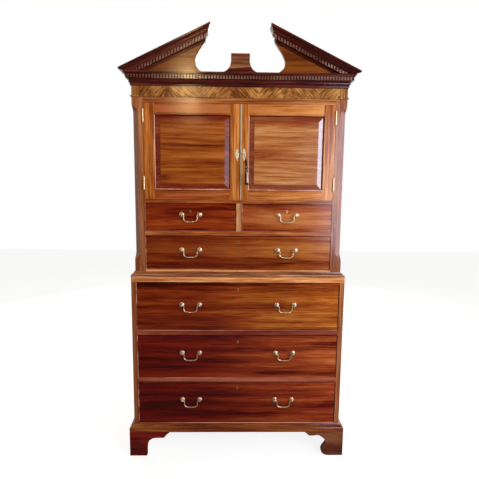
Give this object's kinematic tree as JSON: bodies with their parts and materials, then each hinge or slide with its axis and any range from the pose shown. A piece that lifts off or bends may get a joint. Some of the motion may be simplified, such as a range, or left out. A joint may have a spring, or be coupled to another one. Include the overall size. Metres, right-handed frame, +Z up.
{
  "type": "linen press",
  "caption": "Mahogany linen press: panelled cupboard with trays over drawers, on a chest of long drawers, under a broken dentilled pediment.",
  "frame": {"origin": "on the floor under the middle of the press, centred on the cornice's width and depth", "axes": "+Z up, +Y to the back, +X to the right as seen from the front"},
  "size_m": [1.18, 0.592, 2.2412],
  "materials": {
    "mahogany": "French polished, glossy",
    "mahogany_dark": "French polished, dark red, glossy",
    "mahogany_pale": "faded, polished",
    "flame_veneer": "figured veneer, glossy",
    "oak": "dry, unpolished",
    "brass": "old brass, softly polished",
    "steel": "filed steel",
    "silk": "silk thread"
  },
  "bodies": {
    "carcase": {"frieze": "flame_veneer", "cornice_moulding": "mahogany_dark", "raking_cornice_left": "mahogany_dark", "raking_cornice_right": "mahogany_dark", "pediment_board": "mahogany", "pediment_plinth": "mahogany_dark", "upper_side_left": "mahogany", "upper_side_right": "mahogany", "upper_top": "mahogany", "upper_back": "oak", "upper_bottom": "mahogany", "door_rail_board": "mahogany", "drawer_rail_upper": "mahogany", "waist_moulding": "mahogany_pale", "lower_side_left": "mahogany", "lower_side_right": "mahogany", "lower_top": "mahogany_pale", "lower_back": "oak", "lower_bottom": "oak", "lower_rail_1": "mahogany", "lower_rail_2": "mahogany", "base_moulding": "mahogany", "foot_front_left": "mahogany_dark", "foot_front_right": "mahogany_dark", "foot_rear_left": "mahogany_dark", "foot_rear_right": "mahogany_dark", "hinge_left_upper": "brass", "hinge_left_lower": "brass", "hinge_right_upper": "brass", "hinge_right_lower": "brass"},
    "door_left": {"door_frame_left": "mahogany", "door_panel_left": "flame_veneer", "escutcheon_left": "brass"},
    "door_right": {"door_frame_right": "mahogany", "door_panel_right": "flame_veneer", "escutcheon_right": "brass", "astragal": "mahogany_pale", "door_lock": "brass"},
    "lock_bolt": {"lock_bolt": "steel"},
    "key": {"key": "brass"},
    "tassel": {"tassel_cord": "silk", "tassel": "silk"},
    "tray_lower": {"tray_lower": "oak"},
    "tray_upper": {"tray_upper": "oak"},
    "short_drawer_left": {"short_drawer_left": "mahogany_dark"},
    "short_drawer_right": {"short_drawer_right": "mahogany_dark"},
    "upper_long_drawer": {"upper_long_drawer": "mahogany_dark"},
    "lower_drawer_top": {"lower_drawer_top": "mahogany_dark"},
    "lower_drawer_middle": {"lower_drawer_middle": "mahogany_dark"},
    "lower_drawer_bottom": {"lower_drawer_bottom": "mahogany_dark"},
    "bail_short_drawer_left": {"bail_short_drawer_left": "brass"},
    "bail_short_drawer_right": {"bail_short_drawer_right": "brass"},
    "bail_upper_long_drawer_left": {"bail_upper_long_drawer_left": "brass"},
    "bail_upper_long_drawer_right": {"bail_upper_long_drawer_right": "brass"},
    "bail_lower_drawer_top_left": {"bail_lower_drawer_top_left": "brass"},
    "bail_lower_drawer_top_right": {"bail_lower_drawer_top_right": "brass"},
    "bail_lower_drawer_middle_left": {"bail_lower_drawer_middle_left": "brass"},
    "bail_lower_drawer_middle_right": {"bail_lower_drawer_middle_right": "brass"},
    "bail_lower_drawer_bottom_left": {"bail_lower_drawer_bottom_left": "brass"},
    "bail_lower_drawer_bottom_right": {"bail_lower_drawer_bottom_right": "brass"}
  },
  "joints": [
    {"name": "door_left_hinge", "type": "hinge", "parent": "carcase", "child": "door_left", "pos_m": [-0.4845, -0.2503, 1.6345], "axis": [0, 0, -1], "range_deg": [0, 170]},
    {"name": "door_right_hinge", "type": "hinge", "parent": "carcase", "child": "door_right", "pos_m": [0.4845, -0.2503, 1.6345], "axis": [0, 0, 1], "range_deg": [0, 170]},
    {"name": "key_turn", "type": "hinge", "parent": "door_right", "child": "key", "pos_m": [0.0235, -0.246, 1.6248], "axis": [0, 1, 0], "range_deg": [0, 90]},
    {"name": "bolt_throw", "type": "slide", "parent": "door_right", "child": "lock_bolt", "axis": [-1, 0, 0], "range_m": [0, 0.01]},
    {"name": "tassel_hang", "type": "hinge", "parent": "key", "child": "tassel", "pos_m": [0.0235, -0.246, 1.6248], "axis": [0, 1, 0], "range_deg": [-90, 0]},
    {"name": "tray_lower_slide", "type": "slide", "parent": "carcase", "child": "tray_lower", "axis": [0, -1, 0], "range_m": [0, 0.04]},
    {"name": "tray_upper_slide", "type": "slide", "parent": "carcase", "child": "tray_upper", "axis": [0, -1, 0], "range_m": [0, 0.04]},
    {"name": "short_drawer_left_slide", "type": "slide", "parent": "carcase", "child": "short_drawer_left", "axis": [0, -1, 0], "range_m": [0, 0.38]},
    {"name": "short_drawer_right_slide", "type": "slide", "parent": "carcase", "child": "short_drawer_right", "axis": [0, -1, 0], "range_m": [0, 0.38]},
    {"name": "upper_long_drawer_slide", "type": "slide", "parent": "carcase", "child": "upper_long_drawer", "axis": [0, -1, 0], "range_m": [0, 0.38]},
    {"name": "lower_drawer_top_slide", "type": "slide", "parent": "carcase", "child": "lower_drawer_top", "axis": [0, -1, 0], "range_m": [0, 0.4]},
    {"name": "lower_drawer_middle_slide", "type": "slide", "parent": "carcase", "child": "lower_drawer_middle", "axis": [0, -1, 0], "range_m": [0, 0.4]},
    {"name": "lower_drawer_bottom_slide", "type": "slide", "parent": "carcase", "child": "lower_drawer_bottom", "axis": [0, -1, 0], "range_m": [0, 0.4]},
    {"name": "bail_short_left_swing", "type": "hinge", "parent": "short_drawer_left", "child": "bail_short_drawer_left", "pos_m": [-0.2495, -0.2605, 1.31757], "axis": [-1, 0, 0], "range_deg": [0, 120]},
    {"name": "bail_short_right_swing", "type": "hinge", "parent": "short_drawer_right", "child": "bail_short_drawer_right", "pos_m": [0.2495, -0.2605, 1.31757], "axis": [-1, 0, 0], "range_deg": [0, 120]},
    {"name": "bail_upper_long_left_swing", "type": "hinge", "parent": "upper_long_drawer", "child": "bail_upper_long_drawer_left", "pos_m": [-0.25, -0.2605, 1.13361], "axis": [-1, 0, 0], "range_deg": [0, 120]},
    {"name": "bail_upper_long_right_swing", "type": "hinge", "parent": "upper_long_drawer", "child": "bail_upper_long_drawer_right", "pos_m": [0.25, -0.2605, 1.13361], "axis": [-1, 0, 0], "range_deg": [0, 120]},
    {"name": "bail_lower_top_left_swing", "type": "hinge", "parent": "lower_drawer_top", "child": "bail_lower_drawer_top_left", "pos_m": [-0.25, -0.2785, 0.84427], "axis": [-1, 0, 0], "range_deg": [0, 120]},
    {"name": "bail_lower_top_right_swing", "type": "hinge", "parent": "lower_drawer_top", "child": "bail_lower_drawer_top_right", "pos_m": [0.25, -0.2785, 0.84427], "axis": [-1, 0, 0], "range_deg": [0, 120]},
    {"name": "bail_lower_middle_left_swing", "type": "hinge", "parent": "lower_drawer_middle", "child": "bail_lower_drawer_middle_left", "pos_m": [-0.25, -0.2785, 0.57918], "axis": [-1, 0, 0], "range_deg": [0, 120]},
    {"name": "bail_lower_middle_right_swing", "type": "hinge", "parent": "lower_drawer_middle", "child": "bail_lower_drawer_middle_right", "pos_m": [0.25, -0.2785, 0.57918], "axis": [-1, 0, 0], "range_deg": [0, 120]},
    {"name": "bail_lower_bottom_left_swing", "type": "hinge", "parent": "lower_drawer_bottom", "child": "bail_lower_drawer_bottom_left", "pos_m": [-0.25, -0.2785, 0.31429], "axis": [-1, 0, 0], "range_deg": [0, 120]},
    {"name": "bail_lower_bottom_right_swing", "type": "hinge", "parent": "lower_drawer_bottom", "child": "bail_lower_drawer_bottom_right", "pos_m": [0.25, -0.2785, 0.31429], "axis": [-1, 0, 0], "range_deg": [0, 120]}
  ],
  "couplings": [
    {"joint": "bolt_throw", "follows": "key_turn", "m_per_rad": 0.006366},
    {"joint": "tassel_hang", "follows": "key_turn", "ratio": -1}
  ]
}
